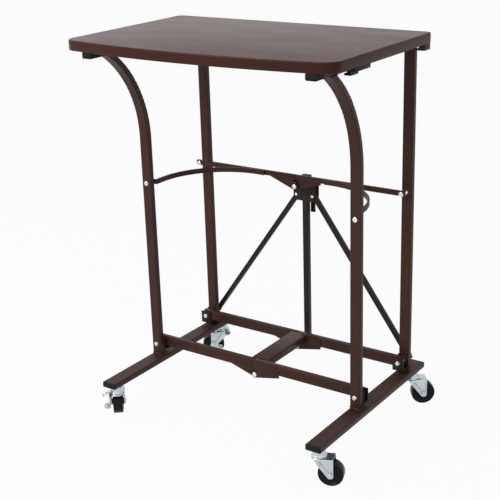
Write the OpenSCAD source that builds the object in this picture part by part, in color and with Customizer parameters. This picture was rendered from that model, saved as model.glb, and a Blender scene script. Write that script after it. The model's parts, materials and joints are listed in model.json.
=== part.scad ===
// Folding laptop cart: a bow-front worktop on two side frames that fold together
// on jointed cross-bars, with a sliding brace hub behind and four swivel castors.
// Origin: centre of the footprint on the floor. +X to the right of someone sitting
// at the cart, +Y to the back, +Z up. Units are millimetres.

/* [Worktop] */
// width of the worktop, left to right
top_w = 581; // [520:1:700]
// depth of the worktop on its centre line
top_d = 377.5; // [340:0.5:440]
// thickness of the worktop
top_t = 19; // [15:0.5:30]
// how far the front edge bows forward in the middle
top_bow = 25; // [5:1:50]
// radius of the two front corners
top_front_r = 30; // [10:1:60]
// radius of the two back corners
top_back_r = 11; // [4:1:40]
// worktop beyond the centre line of the left legs
top_over_left = 61; // [50:0.5:80]
// worktop beyond the centre line of the right legs
top_over_right = 40; // [36:0.5:80]
// worktop in front of the front legs
top_over_front = 164; // [150:0.5:200]
// worktop back edge behind the back legs
top_back_over = 1.5; // [0:0.5:30]

/* [Side frames] */
// height of the worktop surface above the floor
table_h = 765; // [680:1:900]
// leg and cross-bar tube, wide side
tube_w = 22; // [16:0.5:32]
// leg and rail tube, narrow side
tube_t = 12; // [10:0.5:20]
// tube wall
wall = 1.4; // [1:0.1:2.5]
// tube corner radius
tube_r = 2.2; // [1.5:0.1:4]
// front legs start to bend below the worktop surface
bend_below = 213; // [205:1:240]
// inside radius of the bend of the front legs
bend_r = 215; // [150:1:260]
// top rails end short of the front edge of the worktop
rail_short = 19; // [10:1:40]
// visible length of the rail end plugs
plug_len = 24; // [15:1:40]

/* [Feet] */
// width of the foot tube
foot_w = 32; // [25:0.5:45]
// height of the foot tube
foot_t = 12; // [10:0.5:20]
// underside of the feet above the floor
foot_z = 73; // [60:1:100]
// feet reach in front of the front legs
foot_front = 163; // [120:1:220]
// feet reach behind the front faces of the back legs
foot_over = 52; // [40:1:90]
// foot centre line beside the leg centre line
foot_shift = 6; // [0:0.5:12]
// visible thickness of the foot end caps
cap_t = 4; // [2:0.5:8]

/* [Cross-bars] */
// height of the lower pivots above the floor
low_z = 107; // [90:1:160]
// upper pivots below the worktop surface
up_below = 304.5; // [270:0.5:360]
// centre pins below the line of the end pivots
pin_drop = 18; // [12:0.5:25]
// depth of the lower cross-bar tube
bar_d = 11; // [8:0.5:16]
// lower cross-bar underside below its pivot
bar_low = 8.3; // [6:0.1:12]
// gap between leg and lower cross-bar
bar_gap = 5.3; // [4:0.1:12]
// gap between back leg and lower cross-bar
back_gap = 11.7; // [8:0.1:20]
// height of the upper strip bars
strip_h = 10; // [8:0.5:16]
// thickness of the upper back strip
strip_t = 5; // [3:0.5:8]
// upper strip underside below its pivot
strip_low = 3.5; // [2:0.1:6]
// front face of the upper back strip in front of the back legs
strip_in = 23; // [12:0.5:30]
// thickness of the bow strips
bow_t = 4; // [3:0.5:6]
// centre-line radius of the bows beyond half the depth to the strip
bow_more = 48.5; // [40:0.5:56]
// width of the centre cross member
cross_w = 38; // [25:0.5:50]
// height of the centre cross member
cross_h = 17; // [12:0.5:22]
// cross member centre beside the middle of the frame
cross_x = 5; // [-5:0.5:15]

/* [Brace] */
// post width, left to right
post_w = 13; // [10:0.5:20]
// post depth, front to back
post_d = 12; // [10:0.5:20]
// post front face behind the back legs
post_gap = 3; // [2:0.1:8]
// diagonal brace tube width
diag_w = 10; // [8:0.5:16]
// diagonal brace tube depth
diag_d = 10; // [8:0.5:12]
// brace rivets from the middle of the hub
hub_x = 19.4; // [14:0.1:30]
// brace rivets below the upper pivots
hub_below = 46.5; // [42:0.5:60]
// hub plate half width
hub_half = 26; // [22:0.5:36]
// hub plate thickness
hub_t = 2; // [1.5:0.1:3]

/* [Castors] */
// wheel diameter
wheel_d = 48; // [40:1:60]
// wheel tread width
wheel_w = 20; // [14:1:26]
// wheel axle behind the swivel axis
trail = 22; // [16:0.5:30]
// outside width of the fork
fork_w = 30; // [26:0.5:40]
// fork sheet thickness
fork_t = 1.8; // [1.2:0.1:3]
// front swivels in front of the front legs
swivel_front = 140; // [100:1:150]
// back swivels behind the front faces of the back legs
swivel_over = 28; // [20:1:60]
// trailing direction of each castor from +X: front left, front right, back left, back right
castor_yaw = [130, 20, 218, 38]; // [0:1:360]

/* [Fits] */
// running clearance on a radius, turning and sliding joints
run_fit = 0.05; // [0.02:0.01:0.1]
// gap beside parts that pass each other
side_gap = 0.4; // [0.3:0.05:1]
// pivot bolt diameter
bolt_d = 6; // [5:0.5:8]
// centre pin diameter
pin_d = 7; // [5:0.5:9]
// castor swivel neck diameter
neck_d = 10; // [8:0.5:14]

/* [Hidden] */
$fn = 64;
leg_x = (top_w - top_over_left - top_over_right) / 2;
top_shift = (top_over_right - top_over_left) / 2;
leg_depth = top_d - top_over_front - tube_t - top_back_over;
leg_back_y = leg_depth + tube_t;
top_z = table_h - top_t;
rail_z = top_z - tube_t;
bend_z = table_h - bend_below;
up_z = table_h - up_below;
hub_z = up_z - hub_below;
top_y1 = leg_back_y + top_back_over;
top_y0 = -top_over_front;
rail_front = top_over_front - rail_short;
foot_back = leg_depth + foot_over;
swivel_back = leg_depth + swivel_over;
strip_y = leg_depth - strip_in;
bow_r = strip_y / 2 + bow_more;
top_arc_r = (top_w * top_w / 4 + top_bow * top_bow) / (2 * top_bow);
top_arc_y = top_y0 + top_arc_r;
corner_x = top_w / 2 - top_front_r;
corner_y = top_arc_y - sqrt(pow(top_arc_r - top_front_r, 2) - corner_x * corner_x);
tangent_x = corner_x * top_arc_r / (top_arc_r - top_front_r);
foot_top = foot_z + foot_t;
bar_h = tube_w;
bar_z = low_z - bar_low;
front_bar_y = tube_t + bar_gap;
back_bar_y = leg_depth - back_gap - bar_d;
strip_z = up_z - strip_low;
low_pin_z = low_z - pin_drop;
up_pin_z = up_z - pin_drop;
gus_t = 1.6;
flange_t = 2;
bow_cx = leg_x - tube_w / 2 - bow_t / 2 - bow_r;
bow_cy = strip_y - bow_t / 2 - bow_r;
lug_y = tube_t + 2.3;
post_y = leg_back_y + post_gap;
post_top = up_z - 9;
post_bottom = low_pin_z - 12;
diag_y = post_y + (post_d - diag_d) / 2;
hub_front = post_y - 2 * run_fit - hub_t;
hub_back = post_y + post_d + 2 * run_fit;
hub_low = hub_z - 12;
pin_sleeve = 12;
hub_high = up_pin_z - pin_sleeve / 2 - 1;
leaf_in = 2;
leaf_w = top_over_left - tube_w / 2 - 7 - 14 + leaf_in;
gus_left = 57;
gus_right = 58;
gus_flat = 44;
bow_lap = (bow_cx - gus_left) * 6 / 11;
diag_dx = leg_x - hub_x;
diag_dz = hub_z - low_z;
diag_len = sqrt(diag_dx * diag_dx + diag_dz * diag_dz);
diag_tilt = atan2(diag_dx, diag_dz);
hinge_x = -leg_x - tube_w / 2 - 7;
hinge_z = top_z - 6;
hinge_r = 3.4;
hinge_y0 = -90;
hinge_y1 = 190;
hinge_n = 7;
latch_x = leg_x + tube_w / 2 + 10;
latch_y = -74;
latch_len = 54;
latch_end = top_shift + top_w / 2;
axle_z = -foot_z + wheel_d / 2;
axle_d = 6;
plate_z = -9;
fork_in = fork_w / 2 - fork_t;
lever_y = fork_w / 2 + 0.15;
lever_t = 1.5;
sx = [-leg_x + foot_shift, leg_x + foot_shift, -leg_x + foot_shift, leg_x + foot_shift];
sy = [-swivel_front, -swivel_front, swivel_back, swivel_back];

// farthest reach of a castor wheel from its swivel axis, along direction a
function reach(i, a) = let (c = cos(castor_yaw[i] - a), s = abs(sin(castor_yaw[i] - a)), r = wheel_d / 2)
  trail * c + max(r * abs(c) + (wheel_w / 2 - 2) * s, (r - 1.5) * abs(c) + wheel_w / 2 * s);
x_min = min(top_shift - top_w / 2, min([for (i = [0:3]) sx[i] - reach(i, 180)]));
x_max = max(top_shift + top_w / 2, max([for (i = [0:3]) sx[i] + reach(i, 0)]));
y_min = min(top_y0, -foot_front);
y_max = max(foot_back, max([for (i = [0:3]) sy[i] + reach(i, 90)]));
x_mid = (x_min + x_max) / 2;
y_mid = (y_min + y_max) / 2;

frame_col = [0.30, 0.21, 0.19];
dark_col = [0.14, 0.12, 0.12];
top_col = [0.36, 0.24, 0.20];
zinc_col = [0.75, 0.78, 0.80];
black_col = [0.09, 0.09, 0.10];
steel_col = [0.80, 0.79, 0.78];

// moves the frame layout so that the footprint centre is the origin
module placed() {
  translate([-x_mid, -y_mid, 0]) children();
}

// mirrors its children to the chosen side
module side(s) {
  scale([s, 1, 1]) children();
}

// upright rod along +Y from y0 to y1
module rod(x, z, d, y0, y1) {
  translate([x, y0, z]) rotate([-90, 0, 0]) cylinder(d = d, h = y1 - y0);
}

// outline of a rectangle with rounded corners, lower left corner at the origin
module rounded(w, h, r) {
  translate([r, 0]) square([w - 2 * r, h]);
  translate([0, r]) square([w, h - 2 * r]);
  for (x = [r, w - r], y = [r, h - r]) translate([x, y]) circle(r = r, $fn = 32);
}

// ring outline of a tube section
module tube_ring(w, h, r) {
  difference() {
    rounded(w, h, r);
    translate([wall, wall]) rounded(w - 2 * wall, h - 2 * wall, r - wall / 2);
  }
}

// tube running along +Y, section corner at x, z
module tube_y(x, z, w, h, y0, y1) {
  translate([x, y1, z]) rotate([90, 0, 0]) linear_extrude(height = y1 - y0) tube_ring(w, h, tube_r);
}

// tube running up, section corner at x, y
module tube_z(x, y, z0, z1) {
  translate([x, y, z0]) linear_extrude(height = z1 - z0) tube_ring(tube_w, tube_t, tube_r);
}

// flat plate standing across Y, outline drawn in x and z
module plate_y(y0, y1) {
  translate([0, y1, 0]) rotate([90, 0, 0]) linear_extrude(height = y1 - y0) children();
}

// tube running along +X, section corner at y, z
module tube_x(x0, x1, y, z, w, h) {
  translate([x0, y, z]) rotate([90, 0, 90]) linear_extrude(height = x1 - x0) tube_ring(w, h, tube_r);
}

// bolt hole along Y
module bore(x, z, d, y0, y1) {
  rod(x, z, d + 2 * run_fit, y0, y1);
}

// worktop: true arc in front, rounded corners
module top_outline() {
  translate([top_shift, 0]) {
    intersection() {
      translate([0, top_arc_y]) circle(r = top_arc_r, $fn = 720);
      translate([-tangent_x, top_y0 - 1]) square([2 * tangent_x, corner_y - top_y0 + 20]);
    }
    for (s = [-1, 1]) translate([s * corner_x, corner_y]) circle(r = top_front_r);
    translate([-top_w / 2, corner_y]) square([top_w, top_y1 - top_back_r - corner_y]);
    translate([-top_w / 2 + top_back_r, corner_y]) square([top_w - 2 * top_back_r, top_y1 - corner_y]);
    for (s = [-1, 1]) translate([s * (top_w / 2 - top_back_r), top_y1 - top_back_r]) circle(r = top_back_r);
  }
}

module table_top() {
  color(top_col) placed() translate([0, 0, top_z]) linear_extrude(height = top_t) top_outline();
}

// hinge knuckle number k of the row
function knuckle_y(k) = hinge_y0 + k * (hinge_y1 - hinge_y0) / hinge_n;

module top_hinge_base() {
  color(zinc_col) placed() {
    translate([-leg_x - tube_w / 2 - 1.5, hinge_y0, hinge_z - 5]) cube([1.5, hinge_y1 - hinge_y0, 10]);
    for (k = [0:2:hinge_n - 1]) {
      rod(hinge_x, hinge_z, 2 * hinge_r, knuckle_y(k), knuckle_y(k + 1) - side_gap);
      translate([hinge_x, knuckle_y(k), hinge_z - hinge_r]) cube([6, knuckle_y(1) - knuckle_y(0) - side_gap, 1.5]);
    }
    rod(hinge_x, hinge_z, 3, hinge_y0, hinge_y1 - side_gap);
  }
}

module top_hinge_leaf() {
  color(zinc_col) placed() difference() {
    union() {
      translate([hinge_x + leaf_in - leaf_w, hinge_y0, top_z - 1.5]) cube([leaf_w, hinge_y1 - hinge_y0, 1.5]);
      for (k = [1:2:hinge_n - 1]) {
        rod(hinge_x, hinge_z, 2 * hinge_r, knuckle_y(k), knuckle_y(k + 1) - side_gap);
        translate([hinge_x - hinge_r, knuckle_y(k), hinge_z]) cube([1.5, knuckle_y(1) - knuckle_y(0) - side_gap, 5]);
      }
    }
    bore(hinge_x, hinge_z, 3, hinge_y0 - 1, hinge_y1 + 1);
  }
}

// sliding latch under the right edge: it hooks under the right rail
module top_latch() {
  color(black_col) placed() difference() {
    union() {
      translate([latch_x, latch_y, top_z - 7]) cube([latch_end - latch_x, latch_len, 7]);
      translate([latch_x, latch_y + 14, rail_z - 4.2]) cube([4, 26, tube_t + 2]);
      translate([latch_x - 9.4, latch_y + 14, rail_z - 4.2]) cube([11.4, 26, 3.8]);
    }
    for (y = [latch_y + 8, latch_y + latch_len - 8]) {
      translate([latch_x + 3, y - 2.2, top_z - 8]) cube([latch_end - latch_x - 5, 4.4, 9]);
    }
  }
}

// straight foot tube with the two castor stem holes
module foot(s) {
  color(frame_col) placed() difference() {
    tube_y(s * leg_x + foot_shift - foot_w / 2, foot_z, foot_w, foot_t, -foot_front + cap_t, foot_back - cap_t);
    for (y = [-swivel_front, swivel_back]) {
      translate([s * leg_x + foot_shift, y, foot_z - 1]) cylinder(d = 8 + 2 * run_fit, h = foot_t / 2);
    }
  }
}

// end cap: visible plate and the insert inside the tube
module cap(w, h, r, t, ins) {
  linear_extrude(height = t) rounded(w, h, r);
  translate([wall + 0.2, wall + 0.2, t]) linear_extrude(height = ins) {
    rounded(w - 2 * wall - 0.4, h - 2 * wall - 0.4, 1);
  }
}

module foot_caps(s) {
  x = s * leg_x + foot_shift - foot_w / 2;
  color(black_col) placed() {
    translate([x, -foot_front, foot_z + foot_t]) rotate([-90, 0, 0]) cap(foot_w, foot_t, tube_r, cap_t, 10);
    translate([x, foot_back, foot_z]) rotate([90, 0, 0]) cap(foot_w, foot_t, tube_r, cap_t, 10);
  }
}

module back_leg(s) {
  color(frame_col) placed() difference() {
    tube_z(s * leg_x - tube_w / 2, leg_depth, foot_top, rail_z);
    for (z = [low_z, up_z]) bore(s * leg_x, z, bolt_d, leg_depth - 1, leg_back_y + 1);
  }
}

// front leg: straight, then bent forward until it meets the rail
module front_leg(s) {
  color(frame_col) placed() difference() {
    union() {
      tube_z(s * leg_x - tube_w / 2, 0, foot_top, bend_z);
      translate([s * leg_x - tube_w / 2, -bend_r, bend_z]) rotate([90, 0, 90]) {
        rotate_extrude(angle = 70, $fn = 180) translate([bend_r, 0]) tube_ring(tube_t, tube_w, tube_r);
      }
    }
    translate([s * leg_x - tube_w, -bend_r, rail_z]) cube([2 * tube_w, 2 * bend_r, bend_r]);
    for (z = [low_z, up_z]) bore(s * leg_x, z, bolt_d, -1, tube_t + 1);
  }
}

module top_rail(s) {
  y0 = -rail_front + plug_len;
  color(frame_col) placed() difference() {
    translate([s * leg_x - tube_w / 2, leg_back_y, rail_z]) rotate([90, 0, 0]) {
      linear_extrude(height = leg_back_y - y0) rounded(tube_w, tube_t, tube_r);
    }
    translate([s * leg_x - tube_w / 2 + wall, leg_back_y - 2, rail_z + wall]) rotate([90, 0, 0]) {
      linear_extrude(height = leg_back_y - y0) rounded(tube_w - 2 * wall, tube_t - 2 * wall, 1.5);
    }
  }
}

// ribbed plug in the front end of a rail
module rail_plug(s) {
  x = s * leg_x - tube_w / 2;
  rib = plug_len / 5;
  color(black_col) placed() translate([x, -rail_front, rail_z + tube_t]) rotate([-90, 0, 0]) {
    translate([0.8, 0.8, 0]) linear_extrude(height = plug_len) rounded(tube_w - 1.6, tube_t - 1.6, 1.5);
    for (k = [0:4]) {
      translate([0, 0, k * rib]) linear_extrude(height = k == 4 ? rib : rib / 2) rounded(tube_w, tube_t, tube_r);
    }
    translate([wall + 0.2, wall + 0.2, plug_len]) linear_extrude(height = 14) {
      rounded(tube_w - 2 * wall - 0.4, tube_t - 2 * wall - 0.4, 1);
    }
  }
}

// lower pivot bracket: bent plate, open at the top, flanges at ya and yb
module bracket(s, ya, yb) {
  color(dark_col) placed() difference() {
    union() {
      for (y = [ya, yb]) translate([s * leg_x - 12, y, low_z - 16]) cube([24, flange_t, 27]);
      translate([s * leg_x - 12, ya, low_z - 16]) cube([24, yb + flange_t - ya, flange_t]);
    }
    bore(s * leg_x, low_z, bolt_d, ya - 1, yb + flange_t + 1);
  }
}

module front_bracket(s) {
  bracket(s, tube_t, front_bar_y + bar_d + 0.5);
}

module back_bracket(s) {
  bracket(s, back_bar_y - 0.5 - flange_t, leg_depth - flange_t);
}

// hexagon nut on a bolt
module nut(x, z, y, t) {
  translate([x, y, z]) rotate([-90, 0, 0]) cylinder(d = 11.5, h = t, $fn = 6);
}

module front_low_bolt(s) {
  x = s * leg_x;
  y_end = front_bar_y + bar_d + 0.5 + flange_t;
  color(steel_col) placed() {
    rod(x, low_z, 10, -2.5, 0);
    rod(x, low_z, bolt_d, -1, y_end + 5);
    rod(x, low_z, 12, tube_t + flange_t, front_bar_y - 0.3);
    nut(x, low_z, y_end, 4);
  }
}

module back_low_bolt(s) {
  x = s * leg_x;
  y0 = back_bar_y - 0.5 - flange_t;
  color(steel_col) placed() {
    rod(x, low_z, 10, y0 - 2.5, y0);
    rod(x, low_z, bolt_d, y0 - 1, diag_y + diag_d + 4.5);
    rod(x, low_z, 12, back_bar_y + bar_d + 0.3, leg_depth - flange_t);
    rod(x, low_z, 12, leg_back_y, diag_y - 0.3);
    nut(x, low_z, diag_y + diag_d + 0.3, 3.5);
  }
}

module front_up_bolt(s) {
  x = s * leg_x;
  color(steel_col) placed() {
    rod(x, up_z, 10, -2.5, 0);
    rod(x, up_z, bolt_d, -1, lug_y + 7);
    rod(x, up_z, 12, tube_t, lug_y - 0.3);
    nut(x, up_z, lug_y + 2.3, 4);
  }
}

module back_up_bolt(s) {
  x = s * leg_x;
  color(steel_col) placed() {
    rod(x, up_z, 10, strip_y - 2.8, strip_y - 0.3);
    rod(x, up_z, bolt_d, strip_y - 1, leg_back_y + 2.6);
    rod(x, up_z, 12, strip_y + strip_t + 0.3, leg_depth);
    nut(x, up_z, leg_back_y, 2.5);
  }
}

// left gusset outline around a centre pin at height pz, bar underside at bz
module left_gusset(pz, bz, grip) {
  polygon([[-gus_left, bz], [-gus_left, bz + grip], [-0.3, bz + grip], [-0.3, pz - 6.9], [-3, pz - 6.3]]);
  translate([0, pz]) circle(r = 7);
}

module right_gusset(pz, bz, grip, step) {
  polygon([[0.3, bz + grip], [gus_flat, bz + grip], [gus_right, bz + grip / 2], [gus_right, bz - step],
    [3, pz - 6.3], [0.3, pz - 6.9]]);
  translate([0, pz]) circle(r = 7);
}

// lower cross-bar, left half, tube front face at y
module left_bar(y) {
  color(frame_col) placed() difference() {
    union() {
      tube_x(-leg_x - 6, 0, y, bar_z, bar_d, bar_h);
      for (g = [y + 0.5, y + bar_d - 0.5 - gus_t]) plate_y(g, g + gus_t) left_gusset(low_pin_z, bar_z, 1.2);
    }
    bore(-leg_x, low_z, bolt_d, y - 5, y + bar_d + 5);
    bore(0, low_pin_z, pin_d, y - 5, y + bar_d + 5);
  }
}

module right_bar(y) {
  color(frame_col) placed() difference() {
    union() {
      tube_x(0, leg_x + 6, y, bar_z, bar_d, bar_h);
      for (g = [y - gus_t, y + bar_d]) plate_y(g, g + gus_t) right_gusset(low_pin_z, bar_z, bar_h - 2.4, 4.3);
    }
    bore(leg_x, low_z, bolt_d, y - 5, y + bar_d + 5);
    bore(0, low_pin_z, pin_d, y - 5, y + bar_d + 5);
  }
}

module cross_member() {
  color(frame_col) placed() {
    tube_y(cross_x - cross_w / 2, bar_z + bar_h - cross_h, cross_w, cross_h,
      front_bar_y + bar_d + gus_t, back_bar_y - gus_t);
  }
}

module front_centre_pin() {
  y0 = front_bar_y - gus_t - 0.3;
  y1 = front_bar_y + bar_d + gus_t + 0.3;
  color(steel_col) placed() {
    rod(0, low_pin_z, 11, y0 - 2.2, y0);
    rod(0, low_pin_z, pin_d, y0 - 1, y1 + 1);
    rod(0, low_pin_z, 10, y1, y1 + 2);
  }
}

// long pin from a hinge at y0..y1 back through the post
module long_pin(z, y0, y1) {
  color(steel_col) placed() {
    rod(0, z, 11, y0 - 2.5, y0 - 0.3);
    rod(0, z, pin_d, y0 - 1, post_y + post_d + 1);
    rod(0, z, pin_sleeve, y1 + 0.3, post_y);
    rod(0, z, 10, post_y + post_d, post_y + post_d + 1.8);
  }
}

module back_centre_pin() {
  long_pin(low_pin_z, back_bar_y - gus_t, back_bar_y + bar_d + gus_t);
}

module upper_centre_pin() {
  long_pin(up_pin_z, strip_y - gus_t, strip_y + strip_t + gus_t);
}

module left_strip_bar() {
  color(frame_col) placed() difference() {
    union() {
      translate([-leg_x - 7, strip_y, strip_z]) cube([leg_x + 7, strip_t, strip_h]);
      plate_y(strip_y - gus_t, strip_y) left_gusset(up_pin_z, strip_z, 6);
    }
    bore(-leg_x, up_z, bolt_d, strip_y - 5, strip_y + 10);
    bore(0, up_pin_z, pin_d, strip_y - 5, strip_y + 10);
  }
}

module right_strip_bar() {
  color(frame_col) placed() difference() {
    union() {
      translate([0, strip_y, strip_z]) cube([leg_x + 7, strip_t, strip_h]);
      plate_y(strip_y + strip_t, strip_y + strip_t + gus_t) right_gusset(up_pin_z, strip_z, 8, 6);
    }
    bore(leg_x, up_z, bolt_d, strip_y - 5, strip_y + 10);
    bore(0, up_pin_z, pin_d, strip_y - 5, strip_y + 10);
  }
}

// bow strip from a front leg round to the back strip, drawn for the right side
module bow(s) {
  x = leg_x - tube_w / 2 - bow_t;
  color(frame_col) placed() side(s) difference() {
    union() {
      translate([x, lug_y, strip_z]) cube([bow_t, bow_cy - lug_y, strip_h]);
      translate([bow_cx, bow_cy, strip_z]) rotate_extrude(angle = 90, $fn = 180) {
        translate([bow_r - bow_t / 2, 0]) square([bow_t, strip_h]);
      }
      translate([bow_cx - bow_lap, strip_y - bow_t, strip_z]) cube([bow_lap, bow_t, strip_h]);
      plate_y(lug_y, lug_y + 2) {
        translate([leg_x, up_z]) circle(r = 7);
        translate([x, strip_z]) square([leg_x - x, strip_h]);
      }
    }
    bore(leg_x, up_z, bolt_d, lug_y - 1, lug_y + 3);
  }
}

module post() {
  color(dark_col) placed() difference() {
    translate([-post_w / 2, post_y, post_bottom]) linear_extrude(height = post_top - post_bottom) {
      tube_ring(post_w, post_d, 2);
    }
    for (z = [low_pin_z, up_pin_z]) bore(0, z, pin_d, post_y - 1, post_y + post_d + 1);
  }
}

module post_cap() {
  color(black_col) placed() {
    translate([-10.5, post_y + post_d / 2 - 9, post_top]) linear_extrude(height = 4) rounded(21, 18, 5);
    translate([-post_w / 2 + wall + 0.2, post_y + wall + 0.2, post_top - 4]) linear_extrude(height = 5) {
      rounded(post_w - 2 * wall - 0.4, post_d - 2 * wall - 0.4, 1.2);
    }
  }
}

// sliding hub: two plates joined by walls that run along the post
module hub() {
  color(dark_col) placed() difference() {
    union() {
      for (y = [hub_front, hub_back]) plate_y(y, y + hub_t) {
        polygon([[-hub_half, hub_high], [-hub_half, hub_low + 9], [-hub_half + 8, hub_low],
          [hub_half - 8, hub_low], [hub_half, hub_low + 9], [hub_half, hub_high]]);
      }
      for (s = [-1, 1]) translate([s * (post_w / 2 + 2 * run_fit + 0.8) - 0.8, hub_front, hub_low]) {
        cube([1.6, hub_back + hub_t - hub_front, hub_high - hub_low]);
      }
      for (s = [-1, 1]) {
        rod(s * hub_x, hub_z, 8.5, hub_front - 0.8, hub_front + 1);
        rod(s * hub_x, hub_z, 8.5, hub_back + hub_t - 1, hub_back + hub_t + 0.2);
      }
      rod(10, hub_z + 5, 5, hub_back + 1, hub_back + hub_t + 5.5);
      rod(10, hub_z + 5, 8, hub_back + hub_t + 4.6, hub_back + hub_t + 6);
    }
  }
}

module hub_lever() {
  y = hub_back + hub_t + 0.4;
  color(black_col) placed() difference() {
    plate_y(y, y + 4) {
      translate([10, hub_z + 5]) circle(r = 6);
      translate([5, hub_z - 39]) square([10, 44]);
    }
    bore(10, hub_z + 5, 5, y - 1, y + 5);
  }
}

// diagonal brace from the back leg pivot up to the hub
module brace(s) {
  color(dark_col) placed() side(s) translate([leg_x, 0, low_z]) rotate([0, -diag_tilt, 0]) difference() {
    translate([-diag_w / 2, diag_y, -8]) linear_extrude(height = diag_len + 16) {
      tube_ring(diag_w, diag_d, 1.8);
    }
    bore(0, 0, bolt_d, diag_y - 1, diag_y + diag_d + 1);
    bore(0, diag_len, bolt_d, diag_y - 1, diag_y + diag_d + 1);
  }
}

// moves a castor drawn at its swivel axis, z = 0 at the foot, to place i
module castor_place(i) {
  placed() translate([sx[i], sy[i], foot_z]) rotate([0, 0, castor_yaw[i]]) children();
}

module castor_mount(i) {
  color(zinc_col) castor_place(i) {
    translate([0, 0, -2]) cylinder(d = 24, h = 2);
    translate([0, 0, -6.6]) cylinder(d1 = 27, d2 = 22, h = 4.6);
    translate([0, 0, -11]) cylinder(d = neck_d, h = 6);
    translate([0, 0, -11.5]) cylinder(d = 16, h = 2.1);
    translate([0, 0, -1]) cylinder(d = 8, h = 10);
    translate([0, 0, wall]) cylinder(d = 14, h = 5, $fn = 6);
  }
}

module castor_fork(i) {
  braked = i == 0 || i == 2;
  y_end = braked ? lever_y + lever_t + 0.15 : fork_w / 2;
  color(zinc_col) castor_place(i) {
    difference() {
      translate([0, 0, plate_z]) linear_extrude(height = 2) {
        circle(d = fork_w);
        translate([0, -fork_w / 2]) square([trail + 5, fork_w]);
      }
      translate([0, 0, plate_z - 1]) cylinder(d = neck_d + 2 * run_fit, h = 4);
    }
    for (y = [-fork_w / 2, fork_in]) plate_y(y, y + fork_t) {
      polygon([[-12, -7], [trail + 5, -7], [trail + 6.5, axle_z], [trail, axle_z],
        [trail - 4.6, axle_z - 4.6], [-13, -22]]);
      translate([trail, axle_z]) circle(r = 6.5);
    }
    translate([-13, -fork_w / 2, -22]) cube([1.8, fork_w, 15]);
    rod(trail, axle_z, axle_d, -fork_w / 2 - 1, y_end + 1);
    rod(trail, axle_z, 9, -fork_w / 2 - 2, -fork_w / 2);
    rod(trail, axle_z, 9, y_end, y_end + 2);
  }
}

module castor_wheel(i) {
  r = wheel_d / 2;
  w = wheel_w / 2;
  b = fork_in - 0.2;
  bore_r = axle_d / 2 + run_fit;
  half = [[bore_r, b], [7, b], [7, w - 1], [r - 6, w - 2], [r - 4, w], [r - 1.5, w], [r, w - 2]];
  n = len(half) - 1;
  other = [for (k = [n:-1:0]) [half[k][0], -half[k][1]]];
  color(black_col) castor_place(i) translate([trail, 0, axle_z]) rotate([90, 0, 0]) {
    rotate_extrude($fn = 96) polygon(concat(half, other));
  }
}

// side brake lever on the axle: a flat arm with a round upper and lower pedal bent outwards
module brake_lever(i) {
  top = axle_z + 38.6;
  color(zinc_col) castor_place(i) {
    difference() {
      plate_y(lever_y, lever_y + lever_t) {
        translate([trail, axle_z]) circle(r = 8);
        polygon([[trail - 3, axle_z + 7.4], [trail - 20, axle_z + 29], [trail - 27, top], [trail - 37, top],
          [trail - 36, axle_z + 30], [trail - 7.5, axle_z + 2]]);
        polygon([[trail, axle_z - 8], [trail - 19, axle_z - 7], [trail - 19, axle_z], [trail - 7, axle_z + 3.8]]);
      }
      bore(trail, axle_z, axle_d, lever_y - 1, lever_y + lever_t + 1);
    }
    translate([trail - 32, lever_y + 8.85, axle_z + 33]) rotate([-35, 0, 0]) {
      translate([0, 0, -0.8]) cylinder(d = 13, h = 1.6);
      translate([-5, -9.2, -0.8]) cube([10, 9.2, 1.6]);
    }
    translate([trail - 14, lever_y + 6.85, axle_z - 2.3]) rotate([0, -37, 0]) {
      translate([0, 0, -0.8]) cylinder(d = 12, h = 1.6);
      translate([-4, -6.5, -0.8]) cube([8, 6.5, 1.6]);
    }
  }
}

table_top();
top_hinge_base();
top_hinge_leaf();
top_latch();
front_leg(-1);  // left_front_leg
back_leg(-1);  // left_back_leg
top_rail(-1);  // left_top_rail
rail_plug(-1);  // left_rail_plug
foot(-1);  // left_foot
foot_caps(-1);  // left_foot_caps
front_bracket(-1);  // left_front_bracket
back_bracket(-1);  // left_back_bracket
front_leg(1);  // right_front_leg
back_leg(1);  // right_back_leg
top_rail(1);  // right_top_rail
rail_plug(1);  // right_rail_plug
foot(1);  // right_foot
foot_caps(1);  // right_foot_caps
front_bracket(1);  // right_front_bracket
back_bracket(1);  // right_back_bracket
front_low_bolt(-1);  // left_front_low_bolt
back_low_bolt(-1);  // left_back_low_bolt
front_up_bolt(-1);  // left_front_up_bolt
back_up_bolt(-1);  // left_back_up_bolt
front_low_bolt(1);  // right_front_low_bolt
back_low_bolt(1);  // right_back_low_bolt
front_up_bolt(1);  // right_front_up_bolt
back_up_bolt(1);  // right_back_up_bolt
left_bar(front_bar_y);  // left_front_bar
left_bar(back_bar_y);  // left_back_bar
right_bar(front_bar_y);  // right_front_bar
right_bar(back_bar_y);  // right_back_bar
cross_member();
front_centre_pin();
back_centre_pin();
upper_centre_pin();
left_strip_bar();
bow(-1);  // left_bow
right_strip_bar();
bow(1);  // right_bow
post();
post_cap();
hub();
hub_lever();
brace(-1);  // left_brace
brace(1);  // right_brace
castor_mount(0);  // fl_castor_mount
castor_fork(0);  // fl_castor_fork
castor_wheel(0);  // fl_castor_wheel
castor_mount(1);  // fr_castor_mount
castor_fork(1);  // fr_castor_fork
castor_wheel(1);  // fr_castor_wheel
castor_mount(2);  // bl_castor_mount
castor_fork(2);  // bl_castor_fork
castor_wheel(2);  // bl_castor_wheel
castor_mount(3);  // br_castor_mount
castor_fork(3);  // br_castor_fork
castor_wheel(3);  // br_castor_wheel
brake_lever(0);  // fl_brake_lever
brake_lever(2);  // bl_brake_lever
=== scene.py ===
import json
import math

import bmesh
import bpy
from mathutils import Matrix, Vector

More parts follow.
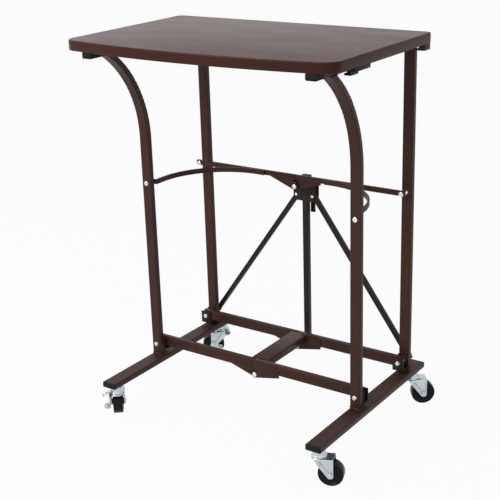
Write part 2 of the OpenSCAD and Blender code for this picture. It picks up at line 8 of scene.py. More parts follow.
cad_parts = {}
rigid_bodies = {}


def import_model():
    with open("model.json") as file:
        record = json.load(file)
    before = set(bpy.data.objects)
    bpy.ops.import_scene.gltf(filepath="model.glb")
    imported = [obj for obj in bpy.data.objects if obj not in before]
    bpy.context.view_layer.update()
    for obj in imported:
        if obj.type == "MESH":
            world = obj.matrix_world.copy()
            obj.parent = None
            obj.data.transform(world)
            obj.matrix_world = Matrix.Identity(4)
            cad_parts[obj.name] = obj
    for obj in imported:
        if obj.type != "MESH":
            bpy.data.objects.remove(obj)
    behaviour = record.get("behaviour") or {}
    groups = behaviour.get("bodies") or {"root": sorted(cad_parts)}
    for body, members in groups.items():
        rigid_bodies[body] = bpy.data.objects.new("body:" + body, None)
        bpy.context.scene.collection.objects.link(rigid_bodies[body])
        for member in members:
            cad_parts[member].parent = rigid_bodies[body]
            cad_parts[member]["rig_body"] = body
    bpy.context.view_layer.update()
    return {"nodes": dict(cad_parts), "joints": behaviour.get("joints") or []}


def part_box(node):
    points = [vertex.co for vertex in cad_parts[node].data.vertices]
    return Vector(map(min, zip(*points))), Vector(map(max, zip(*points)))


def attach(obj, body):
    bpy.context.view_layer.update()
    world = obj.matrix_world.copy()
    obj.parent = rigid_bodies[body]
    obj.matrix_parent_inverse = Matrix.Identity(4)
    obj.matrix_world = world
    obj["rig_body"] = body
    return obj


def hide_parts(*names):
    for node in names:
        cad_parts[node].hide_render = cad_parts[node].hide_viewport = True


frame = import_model()
nodes = frame["nodes"]
joints = {joint["name"]: joint for joint in frame["joints"]}
MM = 0.001
LEG_X, LOW_Z, UP_Z, PIN_DROP = 240, 107, 460.5, 18
left_pivot = joints["fold"]["pos_m"]
ORIGIN = Vector((left_pivot[0] + LEG_X * MM, left_pivot[1] - 0.1, 0))


# ---- Worktop ----
# A 19 mm board with a bowed front edge, wrapped in dark reddish-brown foil.
# Its edges are eased, the top one more than the bottom one. It is screwed to the hinge leaf.
TOP_EDGE = 2.2 * MM
BOTTOM_EDGE = 1.0 * MM


def mottled(name, dark, light, patch, rough, metallic=0.0, grain=900.0, depth=0.03, stretch=(1, 1, 1),
            shine=0.5):
    """A finish whose colour and gloss vary in soft patches, over a fine grain in the surface."""
    finish = bpy.data.materials.new(name)
    finish.use_nodes = True
    add = finish.node_tree.nodes.new
    join = finish.node_tree.links.new
    shader = finish.node_tree.nodes["Principled BSDF"]
    shader.inputs["Metallic"].default_value = metallic
    shader.inputs["Specular IOR Level"].default_value = shine
    place = add("ShaderNodeTexCoord")
    turn = add("ShaderNodeMapping")
    turn.inputs["Scale"].default_value = stretch
    join(place.outputs["Object"], turn.inputs["Vector"])
    cloud = add("ShaderNodeTexNoise")
    cloud.inputs["Scale"].default_value = patch
    cloud.inputs["Detail"].default_value = 5
    join(turn.outputs["Vector"], cloud.inputs["Vector"])
    tint = add("ShaderNodeValToRGB")
    tint.color_ramp.elements[0].position = 0.3
    tint.color_ramp.elements[0].color = (*dark, 1)
    tint.color_ramp.elements[1].position = 0.7
    tint.color_ramp.elements[1].color = (*light, 1)
    join(cloud.outputs["Fac"], tint.inputs["Fac"])
    join(tint.outputs["Color"], shader.inputs["Base Color"])
    gloss = add("ShaderNodeMapRange")
    gloss.inputs["From Min"].default_value = 0.3
    gloss.inputs["From Max"].default_value = 0.7
    gloss.inputs["To Min"].default_value = rough[0]
    gloss.inputs["To Max"].default_value = rough[1]
    join(cloud.outputs["Fac"], gloss.inputs["Value"])
    join(gloss.outputs["Result"], shader.inputs["Roughness"])
    speck = add("ShaderNodeTexNoise")
    speck.inputs["Scale"].default_value = grain
    speck.inputs["Detail"].default_value = 2
    join(turn.outputs["Vector"], speck.inputs["Vector"])
    bump = add("ShaderNodeBump")
    bump.inputs["Strength"].default_value = 0.6
    bump.inputs["Distance"].default_value = depth * MM
    join(speck.outputs["Fac"], bump.inputs["Height"])
    join(bump.outputs["Normal"], shader.inputs["Normal"])
    return finish


def deselect():
    bpy.ops.object.select_all(action="DESELECT")


def edit(piece):
    """Opens one piece in edit mode with everything selected."""
    deselect()
    piece.select_set(True)
    bpy.context.view_layer.objects.active = piece
    bpy.ops.object.mode_set(mode="EDIT")
    bpy.ops.mesh.select_all(action="SELECT")


def close(piece, angle=35):
    """Leaves edit mode with faces outwards, sharp only past the angle."""
    bpy.ops.object.mode_set(mode="EDIT")
    bpy.ops.mesh.select_all(action="SELECT")
    bpy.ops.mesh.normals_make_consistent(inside=False)
    bpy.ops.object.mode_set(mode="OBJECT")
    bpy.ops.object.shade_smooth_by_angle(angle=math.radians(angle))
    return piece


def pick(piece, kind, test):
    """Selects the faces, edges or corners of the open piece that pass the test."""
    bpy.ops.mesh.select_mode(type=kind)
    bpy.ops.mesh.select_all(action="DESELECT")
    shape = bmesh.from_edit_mesh(piece.data)
    parts = {"FACE": shape.faces, "EDGE": shape.edges, "VERT": shape.verts}[kind]
    for part in parts:
        if test(part):
            part.select_set(True)
    bmesh.update_edit_mesh(piece.data)


def middle(edge):
    return (edge.verts[0].co + edge.verts[1].co) / 2


def sharp(edge):
    return len(edge.link_faces) == 2 and edge.calc_face_angle() > math.radians(40)


def copied(piece, name, place=Matrix.Identity(4)):
    """A twin with its own mesh, moved by the matrix."""
    twin = bpy.data.objects.new(name, piece.data.copy())
    bpy.context.collection.objects.link(twin)
    twin.data.transform(place)
    return twin


def fit(piece, body, slot, finish, *stands_for):
    """Gives a piece its finish and its body, and hides the CAD nodes that it stands for."""
    piece.data.materials.clear()
    piece.data.materials.append(finish)
    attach(piece, body)
    if stands_for:
        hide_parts(*stands_for)
    return piece


top_foil = mottled("top_foil", (0.050, 0.0145, 0.0105), (0.062, 0.019, 0.0135), 9, (0.30, 0.36),
                   grain=650, depth=0.02, stretch=(1, 2.5, 2.5), shine=0.12)

worktop = copied(nodes["table_top"], "worktop")
edit(worktop)
bpy.ops.mesh.remove_doubles(threshold=1e-5)
bpy.ops.mesh.dissolve_limited(angle_limit=math.radians(0.2))
top_low, top_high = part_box("table_top")
pick(worktop, "EDGE", lambda e: sharp(e) and middle(e).z > top_high.z - 1e-5)
bpy.ops.mesh.bevel(offset=TOP_EDGE, segments=4)
pick(worktop, "EDGE", lambda e: sharp(e) and middle(e).z < top_low.z + 1e-5)
bpy.ops.mesh.bevel(offset=BOTTOM_EDGE, segments=2)
fit(close(worktop), "top", "top_board", top_foil, "table_top")


# ---- Side frames, feet and cross-bars ----
# Flat oval and rectangular steel tube, powder coated in a satin dark brown after welding.
# The legs are welded to the feet and the rails, and the bars' gussets to the bars.
BEAD, TUBE_R, UNEVEN = 1.7, 2.2, 0.22
brown_paint = mottled("brown_paint", (0.049, 0.0205, 0.0150), (0.061, 0.0265, 0.0195), 14, (0.36, 0.46),
                      grain=1500, depth=0.03, shine=0.14)
dark_paint = mottled("dark_paint", (0.018, 0.0130, 0.0120), (0.025, 0.019, 0.018), 14, (0.36, 0.46),
                     grain=1500, depth=0.03, shine=0.16)


def spot(x, y, z):
    """The place of a point in millimetres from the middle of the front legs' front faces."""
    return Matrix.Translation(ORIGIN + Vector((x, y, z)) * MM)


def dress(names, finish):
    for name in names:
        nodes[name].data.materials.clear()
        nodes[name].data.materials.append(finish)


def eased(node, slot, finish, edge, segments=2, least=0.0):
    """The CAD shape of a piece, its sharp edges broken where they are long enough."""
    piece = copied(nodes[node], node + "_eased")
    edit(piece)
    bpy.ops.mesh.remove_doubles(threshold=1e-6)
    bpy.ops.mesh.dissolve_limited(angle_limit=math.radians(0.3))
    pick(piece, "EDGE", lambda e: sharp(e) and e.calc_length() >= least * MM)
    bpy.ops.mesh.bevel(offset=edge * MM, segments=segments, clamp_overlap=True)
    return fit(close(piece), nodes[node]["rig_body"], slot, finish, node)


def weld(name, body, width, depth, place, seed):
    """An uneven bead round a tube's end that narrows upwards."""
    deselect()
    bpy.ops.mesh.primitive_plane_add(size=MM)
    bead = bpy.context.object
    bead.name = name
    edit(bead)
    wide, deep = width + 2 * BEAD, depth + 2 * BEAD
    bpy.ops.transform.resize(value=(wide, deep, 1))
    bpy.ops.mesh.bevel(affect="VERTICES", offset=(TUBE_R + BEAD) * MM, segments=5)
    pick(bead, "EDGE", lambda e: e.calc_length() > 4 * MM)
    bpy.ops.mesh.subdivide(number_cuts=7)
    bpy.ops.mesh.select_all(action="SELECT")
    for rise, spread in ((0.35, 1.7), (0.35, 1.0), (0.3, 0.15)):
        bpy.ops.mesh.extrude_region_move(TRANSFORM_OT_translate={"value": (0, 0, rise * BEAD * MM)})
        now = (width + spread * BEAD, depth + spread * BEAD)
        bpy.ops.transform.resize(value=(now[0] / wide, now[1] / deep, 1), center_override=(0, 0, 0))
        wide, deep = now
    bpy.ops.mesh.select_all(action="SELECT")
    bpy.ops.transform.vertex_random(offset=UNEVEN * MM, seed=seed)
    close(bead, 60).data.transform(place)
    return fit(bead, body, "brown_paint", brown_paint)


SIDES = ("left", "right")
LEG_W, LEG_T, FOOT_TOP, RAIL_Z, BACK_LEG_Y = 22, 12, 85, 734, 206
BEND_Y, BEND_CUT = -89.6, 21.4
FLIP = Matrix.Rotation(math.pi, 4, "X")
dress([f"{s}_{n}" for s in SIDES for n in ("front_leg", "back_leg", "top_rail", "foot")], brown_paint)
for side in SIDES:
    for n in ("front_bar", "back_bar", "strip_bar", "bow"):
        eased(f"{side}_{n}", "brown_paint", brown_paint, 0.35)
    for n in ("front_bracket", "back_bracket", "brace"):
        eased(f"{side}_{n}", "dark_paint", dark_paint, 0.4)
    x = LEG_X if side == "right" else -LEG_X
    body = side + "_frame"
    weld(side + "_weld_front_foot", body, LEG_W, LEG_T, spot(x, LEG_T / 2, FOOT_TOP), 1)
    weld(side + "_weld_back_foot", body, LEG_W, LEG_T, spot(x, BACK_LEG_Y, FOOT_TOP), 2)
    weld(side + "_weld_back_rail", body, LEG_W, LEG_T, spot(x, BACK_LEG_Y, RAIL_Z) @ FLIP, 3)
    weld(side + "_weld_front_rail", body, LEG_W, BEND_CUT, spot(x, BEND_Y, RAIL_Z) @ FLIP, 4)
eased("cross_member", "brown_paint", brown_paint, 0.3)

# The upper hinge's back gusset laps a little way behind the left bar and slopes down to the pin.
LAP, LAP_AT = (10, 1.4, 15.3), (-3, 182.8, 457.1)
LAP_SLOPE, LAP_EDGE = 0.35, 0.3
deselect()
bpy.ops.mesh.primitive_cube_add(size=MM)
lap = bpy.context.object
lap.name = "upper_gusset_lap"
edit(lap)
bpy.ops.transform.resize(value=LAP)
pick(lap, "VERT", lambda v: v.co.x < 0 and v.co.z < 0)
bpy.ops.transform.translate(value=(LAP_SLOPE * LAP[0] * MM, 0, 0))
pick(lap, "EDGE", sharp)
bpy.ops.mesh.bevel(offset=LAP_EDGE * MM, segments=2)
close(lap).data.transform(spot(*LAP_AT))
fit(lap, nodes["right_strip_bar"]["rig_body"], "brown_paint", brown_paint)
eased("post", "dark_paint", dark_paint, 0.3)
# The hub gets the brown frame paint darkened: painted shade for the hub, which sits in shadow between the
# bars.
shaded_hub_paint = mottled("shaded_hub_paint", (0.030, 0.0160, 0.0130), (0.040, 0.0215, 0.0175), 14, (0.36, 0.46),
                    grain=1500, depth=0.03, shine=0.16)
eased("hub", "dark_paint", shaded_hub_paint, 0.35, least=3)


# ---- Plugs, caps, latch and the hub lever ----
# Moulded black plastic: ribbed plugs in the rails, plain caps in the feet, a cap on the post.
# The latch slides under the worktop's right edge, and the lever hangs from the hub.
CAP_ROUND = 1.9
black_plastic = mottled("black_plastic", (0.006, 0.006, 0.007), (0.010, 0.010, 0.011), 30, (0.42, 0.55),
                        grain=1100, depth=0.05, shine=0.15)


def end_caps(node):
    """A foot's two caps, their outer faces rounded over."""
    caps = copied(nodes[node], node + "_rounded")
    low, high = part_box(node)
    edit(caps)
    bpy.ops.mesh.remove_doubles(threshold=1e-6)
    bpy.ops.mesh.dissolve_limited(angle_limit=math.radians(0.3))
    pick(caps, "EDGE", lambda e: sharp(e) and (middle(e).y < low.y + 1e-5 or middle(e).y > high.y - 1e-5))
    bpy.ops.mesh.bevel(offset=CAP_ROUND * MM, segments=6, clamp_overlap=True)
    return fit(close(caps), nodes[node]["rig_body"], "black_plastic", black_plastic, node)


for side in SIDES:
    eased(side + "_rail_plug", "black_plastic", black_plastic, 0.3)
    end_caps(side + "_foot_caps")
for node, edge in (("post_cap", 1.0), ("hub_lever", 0.8), ("top_latch", 0.6)):
    eased(node, "black_plastic", black_plastic, edge, 3)


# ---- Bolts, pins, rivets and screws ----
# Bright steel: pan heads with a cross recess and hexagon nuts on the pivot bolts, domed rivets
# on the centre pins and the hub. Sleeves on the bolts keep the bars off the legs. The hub's
# rivets are flush at the back, where the lever swings past them.
CHAMFER = 0.35
FORWARD = Matrix.Rotation(math.radians(90), 4, "X")
BACKWARD = Matrix.Rotation(math.radians(-90), 4, "X")
bright_steel = mottled("bright_steel", (0.70, 0.68, 0.66), (0.82, 0.80, 0.78), 120, (0.18, 0.28),
                       metallic=1.0, grain=1500, depth=0.01)


def turned(name, rings, sides=32):
    """A closed round piece on +Z, grown ring by ring from (radius, height) in millimetres."""
    deselect()
    bpy.ops.mesh.primitive_circle_add(vertices=sides, radius=rings[0][0] * MM, fill_type="NGON")
    piece = bpy.context.object
    piece.name = name
    edit(piece)
    bpy.ops.transform.translate(value=(0, 0, rings[0][1] * MM))
    for (r0, z0), (r1, z1) in zip(rings, rings[1:]):
        bpy.ops.mesh.extrude_region_move(TRANSFORM_OT_translate={"value": (0, 0, (z1 - z0) * MM)})
        bpy.ops.transform.resize(value=(r1 / r0, r1 / r0, 1), center_override=(0, 0, 0))
    return close(piece)


def apply(piece, modifier):
    deselect()
    piece.select_set(True)
    bpy.context.view_layer.objects.active = piece
    bpy.ops.object.modifier_apply(modifier=modifier.name)


def cut(piece, tool):
    carve = piece.modifiers.new("cut", "BOOLEAN")
    carve.operation = "DIFFERENCE"
    carve.solver = "EXACT"
    carve.object = tool
    apply(piece, carve)
    bpy.data.objects.remove(tool)


def joined(name, parts):
    deselect()
    for part in parts:
        part.select_set(True)
    bpy.context.view_layer.objects.active = parts[0]
    bpy.ops.object.join()
    parts[0].name = name
    return parts[0]


def pan_head(radius, height):
    """A pan head on +Z with a tapered cross recess."""
    crown = ((1, 0), (1, 0.4), (0.95, 0.68), (0.8, 0.87), (0.55, 0.97), (0.2, 1))
    head = turned("pan_head", [(radius * r, height * h) for r, h in crown])
    for turn in (0, 90):
        deselect()
        bpy.ops.mesh.primitive_cube_add(size=MM)
        blade = bpy.context.object
        edit(blade)
        bpy.ops.transform.resize(value=(1.2 * radius, 0.3 * radius, 1.1 * height))
        pick(blade, "FACE", lambda f: f.normal.z < -0.5)
        bpy.ops.transform.resize(value=(0.35, 0.6, 1))
        bpy.ops.object.mode_set(mode="OBJECT")
        up = Matrix.Translation((0, 0, height * MM))
        blade.data.transform(up @ Matrix.Rotation(math.radians(turn), 4, "Z"))
        cut(head, blade)
    return close(head)


def dome_head(radius, height):
    """A domed rivet head on +Z."""
    arc = [math.radians(a) for a in (0, 18, 36, 54, 72, 85)]
    rings = [(radius, 0)] + [(radius * math.cos(a), height * (0.2 + 0.8 * math.sin(a))) for a in arc]
    return turned("dome_head", rings)


def fastener(node, x, z, head, face, rods):
    """A bolt or pin along the depth: its head before the face, then rods of (radius, from, to, sides)."""
    parts = [copied(head, "head", spot(x, face, z) @ FORWARD)]
    for radius, start, end, sides in rods:
        small = radius - CHAMFER
        rings = [(small, start), (radius, start + CHAMFER), (radius, end - CHAMFER), (small, end)]
        rod = turned("rod", rings, sides)
        rod.data.transform(spot(x, 0, z) @ BACKWARD)
        parts.append(rod)
    return joined(node + "_detail", parts)


BOLTS = {
    "front_low_bolt": (LOW_Z, 0, ((3, -0.5, 35.8, 24), (6, 14, 17, 32), (5.75, 30.8, 34.8, 6))),
    "back_low_bolt": (LOW_Z, 174.8, ((3, 174.3, 230.5, 24), (6, 188.6, 198, 32), (6, 212, 215.7, 32),
                                     (5.75, 226.3, 229.8, 6))),
    "front_up_bolt": (UP_Z, 0, ((3, -0.5, 21.3, 24), (6, 12, 14, 32), (5.75, 16.6, 20.6, 6))),
    "back_up_bolt": (UP_Z, 176.7, ((3, 176.2, 214.6, 24), (6, 182.3, 200, 32), (5.75, 212, 214.5, 6)))}
PINS = {
    "front_centre_pin": (LOW_Z, 15.4, ((3.5, 14.9, 30.7, 24), (5, 30.2, 32.2, 32))),
    "back_centre_pin": (LOW_Z, 175.4, ((3.5, 174.9, 228, 24), (6, 190.2, 215, 32), (5, 227, 228.8, 32))),
    "upper_centre_pin": (UP_Z, 175.1, ((3.5, 174.6, 228, 24), (6, 183.9, 215, 32), (5, 227, 228.8, 32)))}
bolt_head = pan_head(5, 2.4)
pin_head = dome_head(5.1, 2.1)
for name, (z, face, rods) in BOLTS.items():
    left = fastener("left_" + name, -LEG_X, z, bolt_head, face, rods)
    right = copied(left, f"right_{name}_detail", Matrix.Translation((2 * LEG_X * MM, 0, 0)))
    fit(left, "left_frame", "bright_steel", bright_steel, "left_" + name)
    fit(right, "right_frame", "bright_steel", bright_steel, "right_" + name)
for node, (z, face, rods) in PINS.items():
    pin = fastener(node, 0, z - PIN_DROP, pin_head, face, rods)
    fit(pin, nodes[node]["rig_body"], "bright_steel", bright_steel, node)

HUB_X, HUB_Z, HUB_FRONT, HUB_BACK = 19.4, 414, 212.9, 229.1
LEVER_PIVOT = (10, HUB_BACK + 5.7, HUB_Z + 5)
rivet = dome_head(3.5, 1.4)
rivets = [copied(rivet, "rivet", spot(x, HUB_FRONT, HUB_Z) @ FORWARD) for x in (-HUB_X, HUB_X)]
rivets.append(copied(rivet, "rivet", spot(*LEVER_PIVOT) @ BACKWARD))
fit(joined("hub_rivets", rivets), "hub", "bright_steel", bright_steel)

screw = pan_head(3, 1.3)
LEAF_X, LEAF_Z, LATCH_X, LATCH_Z = -277, 744.5, 265.5, 739
hinge_screws = [copied(screw, "screw", spot(LEAF_X, y, LEAF_Z) @ FLIP) for y in (-70, -10, 50, 110, 170)]
fit(joined("hinge_screws", hinge_screws), "top", "bright_steel", bright_steel)
neck = turned("neck", [(1.9, -0.2), (1.9, 7)], 16)
latch_screws = [copied(part, "screw", spot(LATCH_X, y, LATCH_Z) @ turn) for y in (-66, -28)
                for part, turn in ((screw, FLIP), (neck, Matrix.Identity(4)))]
fit(joined("latch_screws", latch_screws), "top", "bright_steel", bright_steel)

# A small brown plate with one screw fills the corner between the right back leg and the worktop.
PLATE, PLATE_AT = (27, 26, 11.5), (264.5, 198, 739.75)
PLATE_ROUND, PLATE_EDGE, SCREW_UP = 4, 0.5, 1
deselect()
bpy.ops.mesh.primitive_cube_add(size=MM)
plate = bpy.context.object
plate.name = "right_corner_plate"
edit(plate)
bpy.ops.transform.resize(value=PLATE)
pick(plate, "EDGE", lambda e: middle(e).x > 0 and abs(middle(e).z) < 1e-6)
bpy.ops.mesh.bevel(offset=PLATE_ROUND * MM, segments=5)
pick(plate, "EDGE", sharp)
bpy.ops.mesh.bevel(offset=PLATE_EDGE * MM, segments=2)
close(plate).data.transform(spot(*PLATE_AT))
fit(plate, "right_frame", "brown_paint", brown_paint)
small_screw = pan_head(2.3, 1.1)
screw_place = spot(PLATE_AT[0], PLATE_AT[1] - PLATE[1] / 2, PLATE_AT[2] + SCREW_UP)
corner_screw = copied(small_screw, "corner_screw", screw_place @ FORWARD)
fit(corner_screw, "right_frame", "bright_steel", bright_steel)
for part in (bolt_head, pin_head, rivet, screw, small_screw, neck):
    bpy.data.objects.remove(part)


# ---- Hinge of the worktop ----
# A zinc-plated strip hinge under the left edge, with a pin through the knuckles of both leaves.
# The base lies on the rail's outer side, and screws hold the leaf under the board.
zinc = mottled("zinc", (0.46, 0.51, 0.55), (0.59, 0.63, 0.65), 60, (0.24, 0.34), metallic=1.0,
               grain=900, depth=0.02)
for node in ("top_hinge_base", "top_hinge_leaf"):
    eased(node, "zinc", zinc, 0.25)


# ---- Castors ----
# Swivel castors: a pressed zinc-plated fork under a tall coned race, a black wheel on a riveted
# axle and a threaded stem in the foot. The two left ones carry a brake lever with two pedals.
TRAIL, AXLE_Z, FOOT_Z = 22, -49, 73
FORK_R, FORK_TOP, SKIRT_Z, FORK_END, AXLE_BOSS, SHEET = 15, -17, -21.4, 28, 6.5, 1.8
TOP_R, CHEEK_X, PANEL_IN, GROOVE = 10.5, -8, 2.3, 0.8
# The braked axle is longer by the lever's sheet and its clearances.
LEVER_OUT, LEVER_EDGE = 1.8, 0.25
wheel_black = mottled("wheel_black", (0.006, 0.006, 0.007), (0.010, 0.010, 0.011), 40, (0.16, 0.26),
                      grain=1200, depth=0.02, shine=0.12)


def stand(key):
    """The castor's place: its swivel axis at the foot, turned to the way it trails."""
    at = joints[key + "_swivel"]["pos_m"]
    axis = joints[key + "_roll"]["axis"]
    turn = Matrix.Rotation(math.atan2(-axis[0], axis[1]), 4, "Z")
    return Matrix.Translation((at[0], at[1], FOOT_Z * MM)) @ turn


def local(x, y, z):
    return Matrix.Translation(Vector((x, y, z)) * MM)


def pressed_fork():
    """One pressed sheet: a plate rounded about the swivel, folded down into two cheeks."""
    deselect()
    bpy.ops.mesh.primitive_circle_add(vertices=48, radius=TOP_R * MM, fill_type="NGON")
    sheet = bpy.context.object
    edit(sheet)
    bpy.ops.transform.translate(value=(0, 0, FORK_TOP * MM))
    pick(sheet, "EDGE", lambda e: True)
    r0, z0 = TOP_R, FORK_TOP
    shoulder = ((12.6, -0.2), (13.9, -0.8), (14.7, -1.8), (FORK_R, -3.0), (FORK_R, SKIRT_Z - FORK_TOP))
    for r1, z1 in ((radius, FORK_TOP + drop) for radius, drop in shoulder):
        bpy.ops.mesh.extrude_edges_move(TRANSFORM_OT_translate={"value": (0, 0, (z1 - z0) * MM)})
        bpy.ops.transform.resize(value=(r1 / r0, r1 / r0, 1), center_override=(0, 0, 0))
        r0, z0 = r1, z1
    bpy.ops.mesh.select_all(action="SELECT")
    bpy.ops.mesh.bisect(plane_co=(0, 0, 0), plane_no=(1, 0, 0), clear_outer=True)
    pick(sheet, "EDGE", lambda e: e.is_boundary and abs(middle(e).x) < 1e-6)
    bpy.ops.mesh.extrude_edges_move(TRANSFORM_OT_translate={"value": (FORK_END * MM, 0, 0)})
    pick(sheet, "EDGE", lambda e: e.is_boundary and max(v.co.z for v in e.verts) < (SKIRT_Z + 1) * MM)
    down = AXLE_Z - AXLE_BOSS - SKIRT_Z
    bpy.ops.mesh.extrude_edges_move(TRANSFORM_OT_translate={"value": (0, 0, down * MM)})
    reach = Vector((TRAIL - CHEEK_X, 0, AXLE_Z - SKIRT_Z))
    slant = math.atan2(reach.z, reach.x) - math.asin(AXLE_BOSS / reach.length)
    pick(sheet, "FACE", lambda f: f.calc_center_median().z < SKIRT_Z * MM)
    bpy.ops.mesh.bisect(plane_co=(CHEEK_X * MM, 0, SKIRT_Z * MM),
                        plane_no=(math.sin(slant), 0, -math.cos(slant)), clear_outer=True)
    for angle in (-20, -45, -70, -110):
        way = Vector((math.cos(math.radians(angle)), 0, math.sin(math.radians(angle))))
        edge = Vector((TRAIL, 0, AXLE_Z)) * MM + way * AXLE_BOSS * MM
        bpy.ops.mesh.select_all(action="SELECT")
        bpy.ops.mesh.bisect(plane_co=edge, plane_no=way, clear_outer=True)
    bpy.ops.mesh.select_all(action="SELECT")
    bpy.ops.mesh.remove_doubles(threshold=1e-5)
    bpy.ops.mesh.normals_make_consistent(inside=False)
    pick(sheet, "FACE", lambda f: abs(f.normal.y) > 0.999 and f.calc_center_median().x > 0
         and f.calc_center_median().z < (FORK_TOP - 3) * MM)
    bpy.ops.mesh.dissolve_faces()
    bpy.ops.mesh.inset(thickness=PANEL_IN * MM, depth=0)
    bpy.ops.mesh.inset(thickness=GROOVE * MM, depth=-GROOVE * MM)
    bpy.ops.object.mode_set(mode="OBJECT")
    wall = sheet.modifiers.new("wall", "SOLIDIFY")
    wall.thickness = SHEET * MM
    wall.offset = -1
    apply(sheet, wall)
    return close(sheet, 40)


def axle(near, far):
    """The riveted axle from one side of the fork to the other."""
    turn = local(TRAIL, 0, AXLE_Z)
    head = dome_head(4.5, 1.9)
    rod = turned("rod", [(3, near), (3, far)], 24)
    parts = [copied(rod, "rod", turn @ BACKWARD), copied(head, "head", turn @ local(0, near, 0) @ FORWARD),
             copied(head, "head", turn @ local(0, far, 0) @ BACKWARD)]
    bpy.data.objects.remove(head)
    bpy.data.objects.remove(rod)
    return parts


mount = joined("mount", [
    turned("race", [(5.5, -22), (7.4, -21.7), (8, -21.1), (8, -19.4), (5, -19.2), (5, -16.6), (13.4, -16.6),
                    (14.3, -16.1), (14.5, -15.2), (14.1, -14.1), (13.2, -13.2), (12.9, -11.6), (12.1, -7),
                    (11.4, -3.4), (10.7, -2.6), (10.7, -2), (11.3, -1.7), (11.3, -0.3), (11, 0), (4, 0),
                    (4, 9)], 48),
    turned("nut", [(6.5, 1.5), (7, 1.9), (7, 5.9), (6.5, 6.4)], 6)])
side_profile = [(3.1, 12.3), (6.6, 12.3), (7, 11.9), (7.2, 9.4), (8.4, 8.7), (11.6, 8.6), (12, 9.3),
                (12.9, 9.3), (13.3, 8.5), (17.2, 8.3), (18.4, 9), (19.2, 9.9), (20.6, 10), (22.6, 9.9),
                (23.6, 9.1), (24, 7.6)]
wheel = turned("wheel", [(r, -h) for r, h in side_profile] + side_profile[::-1], 72)
wheel.data.transform(local(TRAIL, 0, AXLE_Z) @ BACKWARD)
plain_fork = joined("plain_fork", [pressed_fork()] + axle(-FORK_R, FORK_R))
braked_fork = joined("braked_fork", [pressed_fork()] + axle(-FORK_R, FORK_R + LEVER_OUT))

lever = copied(nodes["fl_brake_lever"], "lever", stand("fl").inverted())
edit(lever)
bpy.ops.mesh.remove_doubles(threshold=1e-6)
bpy.ops.mesh.dissolve_limited(angle_limit=math.radians(0.3))
pick(lever, "EDGE", sharp)
bpy.ops.mesh.bevel(offset=LEVER_EDGE * MM, segments=2, clamp_overlap=True)
close(lever)
dish = [(6.2, -1), (6.6, -0.6), (6.6, 0.8), (6.2, 1.2), (4.9, 1.2), (4.2, 0.2), (2.6, 0.2), (2, 1),
        (0.4, 1.1)]
pad = turned("pad", dish)
PEDALS = (((TRAIL - 32, 24, AXLE_Z + 33), -35, "X"), ((TRAIL - 14, 22, AXLE_Z - 2.3), -37, "Y"))
pedals = [copied(pad, "pad", local(*at) @ Matrix.Rotation(math.radians(tilt), 4, axis))
          for at, tilt, axis in PEDALS]
lever = joined("lever", [lever] + pedals)

for key in ("fl", "fr", "bl", "br"):
    braked = key in ("fl", "bl")
    fork = braked_fork if braked else plain_fork
    fit(copied(mount, key + "_mount", stand(key)), nodes[key + "_castor_mount"]["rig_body"], "zinc", zinc,
        key + "_castor_mount")
    fit(copied(fork, key + "_fork", stand(key)), key + "_fork", "zinc", zinc, key + "_castor_fork")
    fit(copied(wheel, key + "_wheel", stand(key)), key + "_wheel", "wheel_black", wheel_black,
        key + "_castor_wheel")
    if braked:
        fit(copied(lever, key + "_lever", stand(key)), key + "_brake", "zinc", zinc, key + "_brake_lever")
for part in (mount, wheel, plain_fork, braked_fork, lever, pad):
    bpy.data.objects.remove(part)


# ---- Floor, light and camera ----
# A white sweep that shows white to the camera and in reflections, with soft studio light.
# The camera stands where the photograph was taken from.
CAMERA_AT = (1160.65, -1636.81, 1075.51)
CAMERA_YAW = math.radians(35.122)
CAMERA_DOWN = math.radians(19.612)
CAMERA_ROLL = math.radians(-1.797)
IMAGE_WIDTH = 500
FOCAL_PIXELS = 1106.2
FLOOR_GLOW, WORLD_SOFT = 0.95, 0.38
LAMPS = (("key", (-1.2, -2.4, 2.4), 1.4, 60), ("fill", (1.8, -2.0, 1.6), 1.4, 3))

scene = bpy.context.scene
scene.view_settings.view_transform = "Standard"
lens = bpy.data.cameras.new("camera")
lens.sensor_width = 36
lens.lens = FOCAL_PIXELS / IMAGE_WIDTH * lens.sensor_width
camera = bpy.data.objects.new("camera", lens)
scene.collection.objects.link(camera)
camera.matrix_world = (spot(*CAMERA_AT) @ Matrix.Rotation(CAMERA_YAW, 4, "Z")
                       @ Matrix.Rotation(math.pi / 2 - CAMERA_DOWN, 4, "X")
                       @ Matrix.Rotation(CAMERA_ROLL, 4, "Z"))
scene.camera = camera


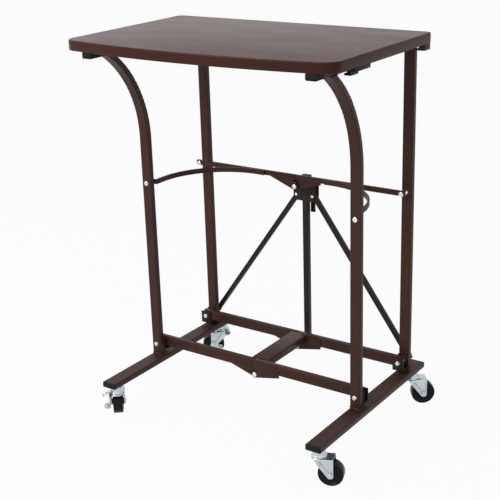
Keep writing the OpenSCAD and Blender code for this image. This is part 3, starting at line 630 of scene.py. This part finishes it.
def seen_white(tree, plain, white, shows):
    """Mixes a plain shader with a white glow that only the camera and reflections see."""
    path = tree.nodes.new("ShaderNodeLightPath")
    sees = path.outputs["Is Camera Ray"]
    for ray in ("Is Glossy Ray", "Is Transmission Ray"):
        either = tree.nodes.new("ShaderNodeMath")
        either.operation = "MAXIMUM"
        tree.links.new(sees, either.inputs[0])
        tree.links.new(path.outputs[ray], either.inputs[1])
        sees = either.outputs[0]
    share = tree.nodes.new("ShaderNodeMath")
    share.operation = "MULTIPLY"
    share.inputs[1].default_value = shows
    tree.links.new(sees, share.inputs[0])
    mix = tree.nodes.new("ShaderNodeMixShader")
    tree.links.new(share.outputs[0], mix.inputs[0])
    tree.links.new(plain, mix.inputs[1])
    tree.links.new(white, mix.inputs[2])
    return mix.outputs[0]


deselect()
bpy.ops.mesh.primitive_circle_add(vertices=96, radius=30, fill_type="NGON", location=(0, 0, -0.0005))
floor = bpy.context.object
floor.name = "floor"
paper = bpy.data.materials.new("paper")
paper.use_nodes = True
tree = paper.node_tree
matt = tree.nodes["Principled BSDF"]
matt.inputs["Base Color"].default_value = (0.8, 0.8, 0.8, 1)
matt.inputs["Roughness"].default_value = 0.9
glow = tree.nodes.new("ShaderNodeEmission")
glow.inputs["Color"].default_value = (1, 1, 1, 1)
out = tree.nodes["Material Output"]
shown = seen_white(tree, matt.outputs["BSDF"], glow.outputs["Emission"], FLOOR_GLOW)
tree.links.new(shown, out.inputs["Surface"])
floor.data.materials.append(paper)

world = bpy.data.worlds.new("studio")
scene.world = world
world.use_nodes = True
tree = world.node_tree
soft = tree.nodes["Background"]
soft.inputs["Color"].default_value = (1, 1, 1, 1)
soft.inputs["Strength"].default_value = WORLD_SOFT
white = tree.nodes.new("ShaderNodeBackground")
white.inputs["Color"].default_value = (1, 1, 1, 1)
white.inputs["Strength"].default_value = 1.0
tree.links.new(seen_white(tree, soft.outputs[0], white.outputs[0], 1.0),
               tree.nodes["World Output"].inputs["Surface"])

for name, at, size, watts in LAMPS:
    lamp = bpy.data.lights.new(name, "AREA")
    lamp.size = size
    lamp.energy = watts
    box_light = bpy.data.objects.new(name, lamp)
    scene.collection.objects.link(box_light)
    box_light.location = at
    aim = Vector((0, 0, 0.4)) - Vector(at)
    box_light.rotation_euler = aim.to_track_quat("-Z", "Y").to_euler()
